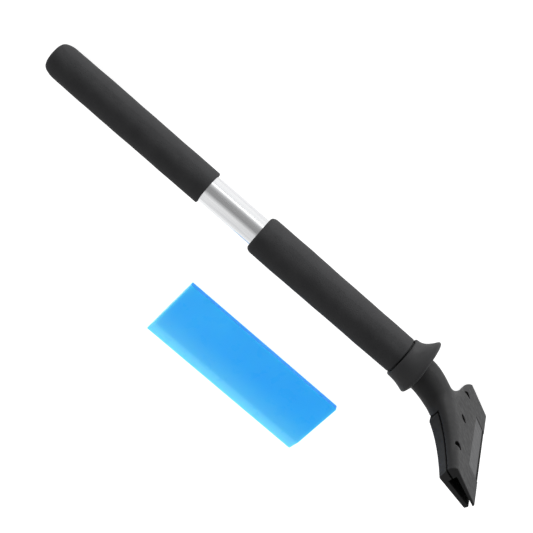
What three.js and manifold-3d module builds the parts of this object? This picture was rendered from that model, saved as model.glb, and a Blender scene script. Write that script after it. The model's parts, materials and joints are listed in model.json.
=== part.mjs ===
// A long-handled squeegee with its clamp-in blade taken out and laid beside it. Millimetres, +Z up.
//
// The tool is drawn in its own frame: X runs along the handle towards the head with X = 0 at the
// joint between the lower grip and the finger guard, Y runs across the head, and Z points out of
// the face that the clamp screws enter. The tool is then laid on its side on the table.
import * as THREE from "three";
import { mergeVertices } from "three/addons/utils/BufferGeometryUtils.js";
import Module from "manifold-3d";

const wasm = await Module();
wasm.setup();

// ---- driving dimensions ----
const GAP = 0.3; // clearance between touching pieces
const SEAM_GAP = 0.5; // shadow gap between the head and its clamp jaw

const TUBE_R = 11;
const TUBE_WALL = 1.2;
const TUBE_START = -313;
const TUBE_END = -0.6;
const BORE_R = TUBE_R + GAP; // bore of both foam grips

const UPPER_START = -320.8;
const UPPER_END = -179.5;
const LOWER_START = -131.5;
const LOWER_END = -0.6;
const BUTT_R = 13.1;
const BUTT_CORNER_R = 5.5;

const NECK_R = 12.4;
const SPIGOT_R = TUBE_R - TUBE_WALL - GAP;
const SPIGOT_START = -46;

const HEAD_WIDTH = 150;
const PLATE_TILT = THREE.MathUtils.degToRad(25.4); // slope of the screw face
const PLATE_BACK = new THREE.Vector2(65.4, -6); // back corner of the screw face, (x, z)
const CLAMP_TILT = THREE.MathUtils.degToRad(16.5); // slope of the seam and of the blade slot
const SEAM_BACK = new THREE.Vector2(61.6, -12.3); // back end of the seam, (x, z)
const NECK_WALL_X = 42; // wall under the neck that the clamp jaw butts against
const SHOULDER_X = 61.3; // where the shoulders reach the full width
const SHOULDER_RATE = 14; // length over which the shoulders flare by a factor of e
const SET_BACK = 4.4; // how far the shoulders' edge leans forward at the screw face
const SET_BACK_DEPTH = 9; // depth below the screw face over which it leans
const SLOT_BACK = 6.8; // from the back of the seam to the floor of the slot
const SLOT_HALF_BACK = 3.15;
const SLOT_HALF_MOUTH = 1.05;
const MOUTH = 29.5;
const LABEL = { from: 13.3, half: 41, depth: 0.5, draft: 0.4 };
const BEND_X = 18; // the neck leaves the guard straight, then bends
const PLATE_X = 51; // the top of the neck runs out onto the screw face
const CROWN = 0.6; // the loft stands this far proud of the plane that trims it

const SCREW_X = 62;
const SCREWS = [
  ["near", -46],
  ["middle", 0],
  ["far", 46],
];
const SCREW_SEAT_Z = -8.6;
const SCREW_END_Z = -19.4;
const SCREW_R = 1.5;
const SCREW_HEAD_R = 2.8;
const SCREW_HEAD_H = 2.1;
const RECESS_R = 3.1;
const INSERT = { r: 2.3, bore: 1.8, top: -13, length: 5 };

const BLADE = { length: 150, width: 56, thick: 6, edge: 1.4, bevel: 11, corner: 0.8 };
const BLADE_CENTRE = new THREE.Vector2(-64.9, -118.5); // from the guard joint, on the table
const BLADE_YAW = THREE.MathUtils.degToRad(-4.5);

const RIVET_X = [-34, -14]; // two rivets hold the head's spigot in the tube
const RIVET_R = 1.6;

const REST_ROLL = THREE.MathUtils.degToRad(4.5); // the far end lies on its back corner
const ROUND = 40; // segments round a handle piece

// ---- materials ----
function material(colour, roughness, metalness = 0) {
  return new THREE.MeshStandardMaterial({ color: colour, roughness, metalness });
}

const foam = material(0x2d2e30, 0.95);
const nylon = material(0x3b3c3f, 0.6);
const softGuard = material(0x333437, 0.75);
const aluminium = material(0xd5d8da, 0.28, 1);
const steel = material(0x8d9094, 0.35, 1);
const brass = material(0xb08d45, 0.4, 1);
const plugPlastic = material(0x202124, 0.7);
const polyurethane = new THREE.MeshStandardMaterial({
  color: 0x2aa0f5,
  roughness: 0.25,
  transparent: true,
  opacity: 0.9,
});

// ---- geometry helpers ----
function toManifold(geometry) {
  const plain = geometry.clone();
  plain.deleteAttribute("normal");
  plain.deleteAttribute("uv");
  const merged = mergeVertices(plain, 1e-4);
  const mesh = new wasm.Mesh({
    numProp: 3,
    vertProperties: new Float32Array(merged.attributes.position.array),
    triVerts: new Uint32Array(merged.index.array),
  });
  return new wasm.Manifold(mesh);
}

function toGeometry(solid) {
  const mesh = solid.getMesh();
  const geometry = new THREE.BufferGeometry();
  geometry.setAttribute("position", new THREE.BufferAttribute(mesh.vertProperties, 3));
  geometry.setIndex(new THREE.BufferAttribute(mesh.triVerts, 1));
  geometry.computeVertexNormals();
  return geometry;
}

// A solid turned about the X axis from (radius, x) points.
function turned(points, segments = ROUND) {
  const profile = points.map(([r, x]) => new THREE.Vector2(r, x));
  return new THREE.LatheGeometry(profile, segments).rotateZ(-Math.PI / 2);
}

// A prism of an (x, z) outline, running across the head from y0 to y1.
function acrossPrism(outline, y0, y1) {
  const shape = new THREE.Shape(outline);
  const options = { depth: y1 - y0, bevelEnabled: false };
  return new THREE.ExtrudeGeometry(shape, options).rotateX(Math.PI / 2).translate(0, y1, 0);
}

function cylinderZ(radius, x, y, z0, z1, segments = 24) {
  const pin = new THREE.CylinderGeometry(radius, radius, z1 - z0, segments);
  return pin.rotateX(Math.PI / 2).translate(x, y, (z0 + z1) / 2);
}

// A closed skin over rings of equal length; open ends are closed by a fan round their centre.
function skin(rings, closedLoop) {
  const count = rings[0].length;
  const positions = rings.flat().flatMap((p) => [p.x, p.y, p.z]);
  const triangles = [];
  const lastBand = closedLoop ? rings.length : rings.length - 1;
  for (let band = 0; band < lastBand; band += 1) {
    const a = band * count;
    const b = ((band + 1) % rings.length) * count;
    for (let i = 0; i < count; i += 1) {
      const j = (i + 1) % count;
      triangles.push(a + i, a + j, b + i, a + j, b + j, b + i);
    }
  }
  if (!closedLoop) {
    closeEnd(rings[0], 0, positions, triangles, false);
    closeEnd(rings[rings.length - 1], (rings.length - 1) * count, positions, triangles, true);
  }
  const geometry = new THREE.BufferGeometry();
  geometry.setAttribute("position", new THREE.Float32BufferAttribute(positions, 3));
  geometry.setIndex(triangles);
  geometry.computeVertexNormals();
  return geometry;
}

function closeEnd(ring, start, positions, triangles, atEnd) {
  const centre = ring.reduce((sum, p) => sum.add(p), new THREE.Vector3());
  centre.divideScalar(ring.length);
  const middle = positions.length / 3;
  positions.push(centre.x, centre.y, centre.z);
  ring.forEach((_, i) => {
    const j = (i + 1) % ring.length;
    const face = atEnd ? [start + i, start + j, middle] : [start + j, start + i, middle];
    triangles.push(...face);
  });
}

// Points of a rounded corner in a turned profile, from its end face to its side.
function corner(r, x, radius, startAngle) {
  const steps = 6;
  return Array.from({ length: steps + 1 }, (_, i) => {
    const angle = THREE.MathUtils.lerp(startAngle, Math.PI / 2, i / steps);
    return [r + radius * Math.sin(angle), x + radius * Math.cos(angle)];
  });
}

function named(name, geometry, surface) {
  const mesh = new THREE.Mesh(geometry, surface);
  mesh.name = name;
  return mesh;
}

// ---- handle ----
function handleTube() {
  const inner = TUBE_R - TUBE_WALL;
  const profile = [
    [inner, TUBE_START],
    [TUBE_R, TUBE_START],
    [TUBE_R, TUBE_END],
    [inner, TUBE_END],
    [inner, TUBE_START],
  ];
  const tube = RIVET_X.reduce((solid, x) => solid.subtract(rivetHole(x)), toManifold(turned(profile)));
  return named("handle_tube", toGeometry(tube), aluminium);
}

function upperGrip() {
  const bellyR = 13.35;
  const endR = 13.05;
  const pocketEnd = TUBE_START - 2.2;
  const domeRise = 0.6;
  const edgeX = UPPER_START + domeRise + BUTT_CORNER_R;
  const profile = [
    [0, UPPER_START],
    ...corner(BUTT_R - BUTT_CORNER_R, edgeX, BUTT_CORNER_R, Math.PI * 0.94),
    [bellyR, (UPPER_START + UPPER_END) / 2],
    [endR, UPPER_END - 0.7],
    [endR - 0.7, UPPER_END],
    [BORE_R, UPPER_END],
    [BORE_R, pocketEnd],
    [0, pocketEnd],
  ];
  return named("upper_grip", turned(profile), foam);
}

function lowerGrip() {
  const backR = 14.9;
  const frontR = 14.35;
  const cornerR = 4.4;
  const profile = [
    [BORE_R, LOWER_START + 0.6],
    ...corner(backR - cornerR + 0.1, LOWER_START + cornerR, cornerR, Math.PI * 0.92),
    [backR, LOWER_START + 30],
    [frontR, LOWER_END - 0.6],
    [frontR - 0.6, LOWER_END],
    [BORE_R, LOWER_END],
    [BORE_R, LOWER_START + 0.6],
  ];
  return named("lower_grip", turned(profile), foam);
}

// The plastic plug that closes the tube inside the foam.
function tubePlug() {
  const flangeX = TUBE_START - 1.8;
  const profile = [
    [0, flangeX],
    [TUBE_R - 0.4, flangeX],
    [TUBE_R, flangeX + 0.4],
    [TUBE_R, TUBE_START - GAP],
    [SPIGOT_R, TUBE_START - GAP],
    [SPIGOT_R, TUBE_START + 12],
    [SPIGOT_R - 1, TUBE_START + 13],
    [0, TUBE_START + 13],
  ];
  return named("tube_plug", turned(profile), plugPlastic);
}

function rivetHole(x) {
  const hole = new THREE.CylinderGeometry(RIVET_R + GAP, RIVET_R + GAP, 3 * TUBE_R, 20);
  return toManifold(hole.translate(x, 0, 0));
}

function rivet(name, x) {
  const pin = new THREE.CylinderGeometry(RIVET_R, RIVET_R, 2 * TUBE_R - 0.4, 20);
  return named(name, pin.translate(x, 0, 0), steel);
}

// ---- finger guard ----
// A ring with a small rim at the grip and a flange that leans out over the head. The flange stands
// highest on the screw-face side, a little proud on the opposite side and low between them.
function guardSection(angle) {
  const top = ((1 + Math.cos(angle)) / 2) ** 3;
  const bottom = ((1 - Math.cos(angle)) / 2) ** 3;
  const rimR = 15.3;
  const boreR = NECK_R + GAP;
  const flangeR = 17.2 + 7.2 * top + 0.9 * bottom;
  const crestX = 14.6 - 1.4 * top + 0.8 * bottom;
  const flare = [0, 0.25, 0.45, 0.62, 0.78, 0.9, 1].map((s) => {
    return [rimR + (flangeR - rimR) * s ** 1.8, 3 + (crestX - 3) * s];
  });
  return [
    [boreR, 0.2],
    [rimR - 0.7, 0.2],
    [rimR, 0.9],
    ...flare,
    [flangeR + 0.1, crestX + 1],
    [flangeR - 0.5, crestX + 2.1],
    [THREE.MathUtils.lerp(boreR, flangeR, 0.45), crestX + 3],
    [boreR + 0.5, crestX + 3.9],
    [boreR, crestX + 3.9],
  ];
}

function fingerGuard() {
  const steps = 48;
  const rings = Array.from({ length: steps }, (_, i) => {
    const angle = (i / steps) * 2 * Math.PI;
    const points = guardSection(angle);
    return points.map(([r, x]) => new THREE.Vector3(x, r * Math.sin(angle), r * Math.cos(angle)));
  });
  return named("finger_guard", skin(rings, true), softGuard);
}

// ---- head ----
// (along the seam, away from it towards the screw face) to tool (x, z)
function clampPoint(along, away) {
  const c = Math.cos(CLAMP_TILT);
  const s = Math.sin(CLAMP_TILT);
  return new THREE.Vector2(SEAM_BACK.x + along * c + away * s, SEAM_BACK.y - along * s + away * c);
}

function slotHalf(along) {
  return THREE.MathUtils.mapLinear(along, SLOT_BACK, MOUTH, SLOT_HALF_BACK, SLOT_HALF_MOUTH);
}

// Height of a seam-parallel line at x, offset from the seam by away.
function seamZ(x, away) {
  return SEAM_BACK.y - (x - SEAM_BACK.x) * Math.tan(CLAMP_TILT) + away / Math.cos(CLAMP_TILT);
}

function plateZ(x) {
  return PLATE_BACK.y - (x - PLATE_BACK.x) * Math.tan(PLATE_TILT);
}

// Half width of the shoulders at x: an exponential flare from the neck to the ends.
function shoulderHalf(x) {
  return (HEAD_WIDTH / 2 + 1) * Math.exp((x - SHOULDER_X) / SHOULDER_RATE) - 1;
}

function smoothMax(a, b, softness) {
  return (a + b + Math.hypot(a - b, softness)) / 2;
}

// A cubic that leaves (x0, y0) level and reaches (x1, y1) with the given slope.
function easeTo(x, x0, y0, x1, y1, slope) {
  const t = THREE.MathUtils.clamp((x - x0) / (x1 - x0), 0, 1);
  const rise = (3 - 2 * t) * t * t;
  return y0 + (y1 - y0) * rise + (x1 - x0) * slope * (t ** 3 - t ** 2);
}

function sectionTop(x) {
  if (x > PLATE_X) return plateZ(x) + CROWN * Math.min(1, (x - PLATE_X) / 6);
  return easeTo(x, BEND_X, NECK_R, PLATE_X, plateZ(PLATE_X), -Math.tan(PLATE_TILT));
}

function sectionBottom(x) {
  const slope = -0.22;
  const endX = 44;
  const endZ = -17.8;
  return x > endX ? endZ + (x - endX) * slope : easeTo(x, BEND_X, -NECK_R, endX, endZ, slope);
}

// Corner sharpness of the section: a circle on the neck, nearly a rectangle at the jaw.
function sectionPower(x) {
  const soft = THREE.MathUtils.smoothstep(x, 38, 60);
  const crisp = THREE.MathUtils.smoothstep(x, 59, 67);
  return 2 + 2 * soft + 14 * crisp;
}

// Half width of the loft at (x, z): the shoulders lean forward as they rise to the screw face.
function sectionHalf(x, z) {
  const share = THREE.MathUtils.clamp(1 - (plateZ(x) - z) / SET_BACK_DEPTH, 0, 1);
  const flare = shoulderHalf(x - SET_BACK * share ** 2.2);
  return Math.min(smoothMax(NECK_R, flare, 2.4), HEAD_WIDTH / 2 + 1);
}

function headSection(x) {
  const points = 44;
  const top = sectionTop(x);
  const bottom = sectionBottom(x);
  const power = 2 / sectionPower(x);
  return Array.from({ length: points }, (_, i) => {
    const angle = (i / points) * 2 * Math.PI;
    const side = Math.sign(Math.cos(angle)) * Math.abs(Math.cos(angle)) ** power;
    const height = Math.sign(Math.sin(angle)) * Math.abs(Math.sin(angle)) ** power;
    const z = (top + bottom) / 2 + ((top - bottom) / 2) * height;
    return new THREE.Vector3(x, sectionHalf(x, z) * side, z);
  });
}

function headLoft() {
  const neckStations = [-0.3, 9, BEND_X, 22, 26, 30, 34, 37, 39.5];
  const shoulderStations = Array.from({ length: 16 }, (_, i) => 41.2 + i * 1.34);
  const jawStations = [62.6, 63.8, 65.2, 67, 70, 96];
  const stations = [...neckStations, ...shoulderStations, ...jawStations];
  return toManifold(skin(stations.map(headSection), false));
}

// Everything below the seam and ahead of the mouth, cut from the head body.
function jawClearance() {
  const reach = HEAD_WIDTH;
  const outline = [
    new THREE.Vector2(NECK_WALL_X, -90),
    new THREE.Vector2(NECK_WALL_X, seamZ(NECK_WALL_X, SEAM_GAP / 2)),
    clampPoint(SLOT_BACK, SEAM_GAP / 2),
    clampPoint(SLOT_BACK, SLOT_HALF_BACK),
    clampPoint(MOUTH, SLOT_HALF_MOUTH),
    clampPoint(MOUTH - 0.7, SLOT_HALF_MOUTH + 2),
    clampPoint(MOUTH - 0.7, 40),
    new THREE.Vector2(140, 40),
    new THREE.Vector2(140, -90),
  ];
  return toManifold(acrossPrism(outline, -reach, reach));
}

// The space above the screw face, which trims the loft flat from the run-out of the neck forward.
function plateTrim() {
  const outline = [
    new THREE.Vector2(PLATE_X + 1, plateZ(PLATE_X + 1)),
    new THREE.Vector2(120, plateZ(120)),
    new THREE.Vector2(120, 40),
    new THREE.Vector2(PLATE_X + 1, 40),
  ];
  return toManifold(acrossPrism(outline, -HEAD_WIDTH, HEAD_WIDTH));
}

function endTrim(side) {
  const inner = HEAD_WIDTH / 2;
  const box = new THREE.BoxGeometry(200, 20, 200).translate(60, side * (inner + 10), 0);
  return toManifold(box);
}

// A shallow field for a label, open at the mouth edge of the screw face. Its walls lean outwards.
function labelRecess() {
  const c = Math.cos(PLATE_TILT);
  const s = Math.sin(PLATE_TILT);
  const reach = 40;
  const at = (along, up, y) => {
    return [PLATE_BACK.x + along * c + up * s, y, PLATE_BACK.y - along * s + up * c];
  };
  const corners = [-LABEL.depth, 5].flatMap((up) => {
    const back = LABEL.from - (up + LABEL.depth) * LABEL.draft;
    const half = LABEL.half + (up + LABEL.depth) * LABEL.draft;
    return [at(back, up, -half), at(back, up, half), at(reach, up, -half), at(reach, up, half)];
  });
  return wasm.Manifold.hull(corners);
}

function headBody() {
  const spigot = turned([
    [0, SPIGOT_START],
    [SPIGOT_R - 1, SPIGOT_START],
    [SPIGOT_R, SPIGOT_START + 1],
    [SPIGOT_R, 2],
    [0, 2],
  ]);
  let body = headLoft().subtract(jawClearance()).subtract(plateTrim()).subtract(labelRecess());
  body = body.subtract(endTrim(-1)).subtract(endTrim(1)).add(toManifold(spigot));
  RIVET_X.forEach((x) => {
    body = body.subtract(rivetHole(x));
  });
  SCREWS.forEach(([, y]) => {
    body = body.subtract(toManifold(cylinderZ(RECESS_R, SCREW_X, y, SCREW_SEAT_Z, 20)));
    body = body.subtract(toManifold(cylinderZ(SCREW_R + GAP, SCREW_X, y, -30, SCREW_SEAT_Z + 1)));
  });
  return named("head_body", toGeometry(body), nylon);
}

// ---- clamp jaw ----
function clampJawSide() {
  const backX = NECK_WALL_X + GAP;
  const outerTip = clampPoint(MOUTH - 1.8, -4.4);
  const outerKnee = clampPoint(3.6, -7.05);
  const outerSlope = (outerTip.y - outerKnee.y) / (outerTip.x - outerKnee.x);
  return [
    new THREE.Vector2(backX, seamZ(backX, -SEAM_GAP / 2)),
    clampPoint(SLOT_BACK, -SEAM_GAP / 2),
    clampPoint(SLOT_BACK, -SLOT_HALF_BACK),
    clampPoint(MOUTH - 1.2, -slotHalf(MOUTH - 1.2)),
    outerTip,
    new THREE.Vector2(backX, outerKnee.y + (backX - outerKnee.x) * outerSlope),
  ];
}

function clampJawPlan() {
  const half = HEAD_WIDTH / 2;
  const steps = 14;
  const startX = NECK_WALL_X + GAP;
  const side = Array.from({ length: steps + 1 }, (_, i) => {
    const x = THREE.MathUtils.lerp(startX, SHOULDER_X, i / steps);
    return [x, shoulderHalf(x)];
  });
  const farSide = side.map(([x, y]) => new THREE.Vector2(x, y));
  const nearSide = side.map(([x, y]) => new THREE.Vector2(x, -y)).reverse();
  return [...farSide, new THREE.Vector2(120, half), new THREE.Vector2(120, -half), ...nearSide];
}

function clampJaw() {
  const plan = new THREE.Shape(clampJawPlan());
  const column = new THREE.ExtrudeGeometry(plan, { depth: 80, bevelEnabled: false });
  const slab = toManifold(acrossPrism(clampJawSide(), -HEAD_WIDTH, HEAD_WIDTH));
  let jaw = slab.intersect(toManifold(column.translate(0, 0, -60)));
  SCREWS.forEach(([, y]) => {
    const pocketEnd = INSERT.top - INSERT.length - GAP;
    jaw = jaw.subtract(toManifold(cylinderZ(INSERT.r + GAP, SCREW_X, y, pocketEnd, 0)));
    jaw = jaw.subtract(toManifold(cylinderZ(SCREW_R + GAP, SCREW_X, y, -40, pocketEnd + 1)));
  });
  return named("clamp_jaw", toGeometry(jaw), nylon);
}

// A threaded brass insert, pressed into the clamp jaw from the seam.
function insert(name, y) {
  const profile = [
    [INSERT.bore, -INSERT.length],
    [INSERT.r, -INSERT.length],
    [INSERT.r, 0],
    [INSERT.bore, 0],
    [INSERT.bore, -INSERT.length],
  ];
  const points = profile.map(([r, z]) => new THREE.Vector2(r, z));
  const ring = new THREE.LatheGeometry(points, 24).rotateX(Math.PI / 2);
  return named(name, ring.translate(SCREW_X, y, INSERT.top), brass);
}

function clampScrew(name, y) {
  const underHead = SCREW_SEAT_Z + 0.1;
  const top = underHead + SCREW_HEAD_H;
  const shank = toManifold(cylinderZ(SCREW_R, SCREW_X, y, SCREW_END_Z, underHead + 0.5));
  const head = toManifold(cylinderZ(SCREW_HEAD_R, SCREW_X, y, underHead, top));
  const socket = toManifold(cylinderZ(1.15, SCREW_X, y, top - 1.3, top + 1, 6));
  return named(name, toGeometry(shank.add(head).subtract(socket)), steel);
}

// ---- loose blade ----
function blade() {
  const { width, thick, edge, bevel, corner: chamfer } = BLADE;
  const half = width / 2;
  const outline = new THREE.Shape([
    new THREE.Vector2(-half, 0),
    new THREE.Vector2(half - chamfer / 2, 0),
    new THREE.Vector2(half, chamfer / 2),
    new THREE.Vector2(half, thick - chamfer / 2),
    new THREE.Vector2(half - chamfer / 2, thick),
    new THREE.Vector2(-half + bevel, thick),
    new THREE.Vector2(-half, edge),
  ]);
  const slab = new THREE.ExtrudeGeometry(outline, { depth: BLADE.length, bevelEnabled: false });
  slab.translate(0, 0, -BLADE.length / 2).rotateX(Math.PI / 2).rotateZ(Math.PI / 2);
  const mesh = named("blade", slab, polyurethane);
  mesh.position.set(BLADE_CENTRE.x, BLADE_CENTRE.y, 0);
  mesh.rotation.z = BLADE_YAW;
  return mesh;
}

// ---- assembly ----
function squeegee() {
  const tool = new THREE.Group();
  tool.add(upperGrip(), tubePlug(), handleTube(), lowerGrip());
  tool.add(rivet("rivet_rear", RIVET_X[0]), rivet("rivet_front", RIVET_X[1]));
  tool.add(fingerGuard(), headBody(), clampJaw());
  SCREWS.forEach(([name, y]) => {
    tool.add(clampScrew(`clamp_screw_${name}`, y), insert(`insert_${name}`, y));
  });
  tool.rotation.x = -Math.PI / 2 - REST_ROLL;
  return tool;
}

function lowest(object) {
  return new THREE.Box3().setFromObject(object, true).min.z;
}

// Leans the tool until its butt and the far end of its head both touch the table.
function layOnTable() {
  const leaning = new THREE.Group();
  leaning.add(squeegee());
  const headPieces = [leaning.getObjectByName("head_body"), leaning.getObjectByName("clamp_jaw")];
  const run = SHOULDER_X - UPPER_START;
  let tilt = Math.atan2(HEAD_WIDTH / 2 - BUTT_R, run);
  for (let step = 0; step < 5; step += 1) {
    leaning.rotation.y = -tilt;
    leaning.updateMatrixWorld(true);
    const headHeight = Math.min(...headPieces.map(lowest));
    tilt -= (headHeight - lowest(leaning.getObjectByName("upper_grip"))) / run;
  }
  leaning.position.z = -lowest(leaning);
  return leaning;
}

const assembly = new THREE.Group();
assembly.add(layOnTable(), blade());
assembly.updateMatrixWorld(true);
const centre = new THREE.Box3().setFromObject(assembly, true).getCenter(new THREE.Vector3());
assembly.position.set(-centre.x, -centre.y, 0);

export default assembly;
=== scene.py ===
"""The looks of a long-handled squeegee, with its clamp-in blade lying beside it.

Pieces are drawn in the tool frame, in millimetres: X runs along the handle towards the head with
X = 0 at the joint between the lower grip and the guard, Y runs across the head, and Z points out
of the face that the clamp screws enter. tool_matrix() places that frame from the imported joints.
"""

import json
import math

import bpy
import numpy as np
from mathutils import Matrix, Vector

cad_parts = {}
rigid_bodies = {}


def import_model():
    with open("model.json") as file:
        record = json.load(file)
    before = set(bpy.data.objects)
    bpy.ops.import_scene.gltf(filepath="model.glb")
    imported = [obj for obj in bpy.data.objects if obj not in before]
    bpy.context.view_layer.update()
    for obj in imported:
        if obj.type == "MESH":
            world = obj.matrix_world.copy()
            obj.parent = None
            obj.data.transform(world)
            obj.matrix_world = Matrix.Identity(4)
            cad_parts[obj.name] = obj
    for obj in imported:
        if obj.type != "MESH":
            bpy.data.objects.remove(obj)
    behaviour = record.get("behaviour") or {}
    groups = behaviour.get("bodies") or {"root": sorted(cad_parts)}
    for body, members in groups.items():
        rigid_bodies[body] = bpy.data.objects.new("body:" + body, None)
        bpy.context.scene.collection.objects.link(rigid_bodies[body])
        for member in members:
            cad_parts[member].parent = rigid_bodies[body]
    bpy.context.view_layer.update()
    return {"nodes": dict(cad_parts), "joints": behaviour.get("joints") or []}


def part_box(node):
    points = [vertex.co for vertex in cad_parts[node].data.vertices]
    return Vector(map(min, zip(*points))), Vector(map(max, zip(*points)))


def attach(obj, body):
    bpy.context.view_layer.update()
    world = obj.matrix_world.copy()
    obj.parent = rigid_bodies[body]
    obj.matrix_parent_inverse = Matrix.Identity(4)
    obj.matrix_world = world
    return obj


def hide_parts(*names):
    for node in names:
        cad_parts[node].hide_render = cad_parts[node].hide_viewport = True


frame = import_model()

MM = 0.001

# ---- handle, in millimetres ----
GAP = 0.3  # clearance between pieces
TUBE_R = 11.0
TUBE_WALL = 1.2
TUBE_SPAN = (-313.0, -0.6)
BORE_R = TUBE_R + GAP
UPPER_SPAN = (-320.8, -178.5)
LOWER_SPAN = (-131.5, -0.6)
UPPER_R = {"butt": 13.1, "belly": 13.35, "end": 13.05}
LOWER_R = {"belly": 14.95, "end": 14.35}
BUTT_CORNER = 5.5
POCKET_DEPTH = 2.2  # room past the tube's end for its plug
LOWER_SHOULDER = {"r": 11.8, "out": 3.1, "along": 4.6}
FOAM_SEGMENTS = 144
FOAM_SPACING = 1.4
SPIGOT_R = TUBE_R - TUBE_WALL - GAP
SPIGOT_SPAN = (-46.0, -0.4)
GUARD_RIM = 16.0
GUARD_FLANGE = {"r": 17.7, "top": 7.7, "bottom": 0.9}
GUARD_CREST = {"x": 14.6, "top": -1.4, "bottom": 0.8}

# ---- head and jaw, in millimetres ----
NECK_R = 12.4
NECK_WALL_X = 42.0
NECK_BLEND = 2.4
HEAD_START = -0.3
HEAD_HALF = 75.0
PLATE_TILT = math.radians(25.4)
PLATE_BACK = (65.4, -6.0)
PLATE_X = 51.0
BEND_X = 18.0
CROWN = 0.6
UNDERSIDE = {"x": 44.0, "z": -17.8, "slope": -0.22}
SHOULDER_X = 61.3
SHOULDER_RATE = 14.0
SET_BACK = 4.4
SET_BACK_DEPTH = 9.0
CLAMP_TILT = math.radians(16.5)
SEAM_BACK = (61.6, -12.3)
SEAM_GAP = 0.5
# width of the painted shade along the seam's edges
SEAM_SHADE = 0.45
SLOT_BACK = 6.8
SLOT_HALF_BACK = 3.15
SLOT_HALF_MOUTH = 1.05
MOUTH = 29.5
JAW_LIP = MOUTH - 1.2
JAW_TIP = (MOUTH - 1.8, -4.4)
JAW_KNEE = (3.6, -7.05)
# from LABEL's strip distance on, the label floor carries painted shade
LABEL = {"from": 13.3, "half": 41.0, "depth": 0.5, "draft": 0.4, "strip": 24.6}
GRID_STEP = 0.5  # spacing of the sampled solids of the head and the jaw
HEAD_GRID = ((-1.2, -76.2, -22.0), (91.5, 76.2, 13.8))
JAW_GRID = ((41.2, -76.2, -26.4), (90.6, 76.2, -4.6))
EASE = {"plate": 0.7, "end": 0.5, "cut": 0.2, "lip": 0.15, "seam": 0.35, "slot": 0.4}
RECESS_EASE = 0.3
JAW_EASE = {"back": 0.9, "outer": 0.6}

# ---- screws, inserts and blade, in millimetres ----
SCREW_X = 62.0
SCREW_JOINT_Z = -9.0
SCREWS = {"near": -46.0, "middle": 0.0, "far": 46.0}
SCREW_SEAT_Z = -8.6
SCREW_END_Z = -19.4
THREAD_TOP_Z = -10.6
THREAD_DEPTH = 0.28
THREAD_PITCH = 0.5
THREAD_STEPS = 8
SCREW_R = 1.5
SCREW_HEAD_R = 2.8
SCREW_HEAD_H = 2.1
SOCKET_R = 1.15
RECESS_R = 3.1
INSERT = {"r": 2.3, "bore": 1.8, "top": -13.0, "length": 5.0}
ROUND_SEGMENTS = 72
BLADE = {"length": 150.0, "width": 56.0, "thick": 6.0, "edge": 1.4, "bevel": 11.0}
BLADE_YAW = math.radians(-4.5)

# ---- surfaces ----
NYLON_GLOSS = 0.14
LABEL_HIGHLIGHT_LIFT = 3.2  # how much lighter the label field's floor is painted: a painted highlight
# painted shade in the slot, the seam and the recesses, as a share of the dark colour
RECESS_SHADE = 0.04

# ---- light: watts, radiance, and degrees from the middle of the room's dark side ----
KEY_POWER = 34.5
KEY_PLACE = (-60.0, 174.0, 1187.0)  # in the tool frame, in millimetres
KEY_TARGET = (-0.11, 0.0, 0.0)
KEY_SIZE = (1.8, 0.5)
UNLIT_BY_KEY = ("drawn_tube", "cast_blade")
STRIP_POWER = 2.2
STRIP_PLACE = (0.0, 1.2, 0.32)
STRIP_TARGET = (0.0, 0.0, 0.05)
STRIP_SIZE = (2.4, 0.16)
SKY = (1.0, 0.36)
DARK_SIDE = (-0.154, 0.421, 0.894)
DARK_SPREAD = (2.0, 47.0)
FLOOR_GLOW = 0.82
FLOOR_REACH = 6.0
FLOOR_DROP = 0.0002

# ---- camera, in the tool frame, in millimetres and degrees ----
CAMERA = {
    "target": (-112.1, -3.9, -14.0),
    "distance": 848.36,
    "azimuth": -0.661,
    "elevation": 20.379,
    "roll": 41.207,
    "lens": 81.99,
}


def tool_matrix():
    """The tool frame in the row frame, from the places and the axis of the three clamp screws."""
    joints = {j["name"]: j for j in frame["joints"]}
    near, middle, far = (Vector(joints[f"screw_{side}_turn"]["pos_m"]) for side in SCREWS)
    z = Vector(joints["screw_middle_turn"]["axis"]).normalized()
    across = far - near
    y = (across - z * across.dot(z)).normalized()
    x = y.cross(z)
    origin = middle - (x * SCREW_X + z * SCREW_JOINT_Z) * MM
    return Matrix.Translation(origin) @ Matrix((x, y, z)).transposed().to_4x4()


TOOL = tool_matrix()


# ---- meshes ----
def piece(name, points, faces, body, slot, material, replaces=(), place=TOOL, sharp=None):
    """A mesh of points in millimetres, in the frame that place gives, riding on a body."""
    local = np.asarray(points, float) * MM
    placed = local @ np.array(place.to_3x3()).T + np.array(place.translation)
    mesh = bpy.data.meshes.new(name)
    mesh.from_pydata(placed.tolist(), [], faces)
    mesh.update()
    mesh.shade_smooth()
    if sharp is not None:
        mesh.set_sharp_from_angle(angle=math.radians(sharp))
    mesh.materials.append(material)
    own = mesh.attributes.new("own_position", "FLOAT_VECTOR", "POINT")
    own.data.foreach_set("vector", local.astype(np.float32).ravel())
    made = bpy.data.objects.new(name, mesh)
    bpy.context.scene.collection.objects.link(made)
    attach(made, body)
    if replaces:
        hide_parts(*replaces)
    return made


def skin(rings, closed):
    """Faces over rings of equal length. Open ends are closed by a fan round their centre."""
    count = len(rings[0])
    total = len(rings)
    points = np.concatenate(rings)
    faces = []
    for band in range(total if closed else total - 1):
        a = band * count
        b = ((band + 1) % total) * count
        for i in range(count):
            j = (i + 1) % count
            faces.append((a + i, a + j, b + j, b + i))
    if not closed:
        ends = [np.mean(rings[0], axis=0), np.mean(rings[-1], axis=0)]
        first, last = len(points), (total - 1) * count
        points = np.concatenate([points, ends])
        for i in range(count):
            j = (i + 1) % count
            faces.append((j, i, first))
            faces.append((last + i, last + j, first + 1))
    return points, faces


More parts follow.
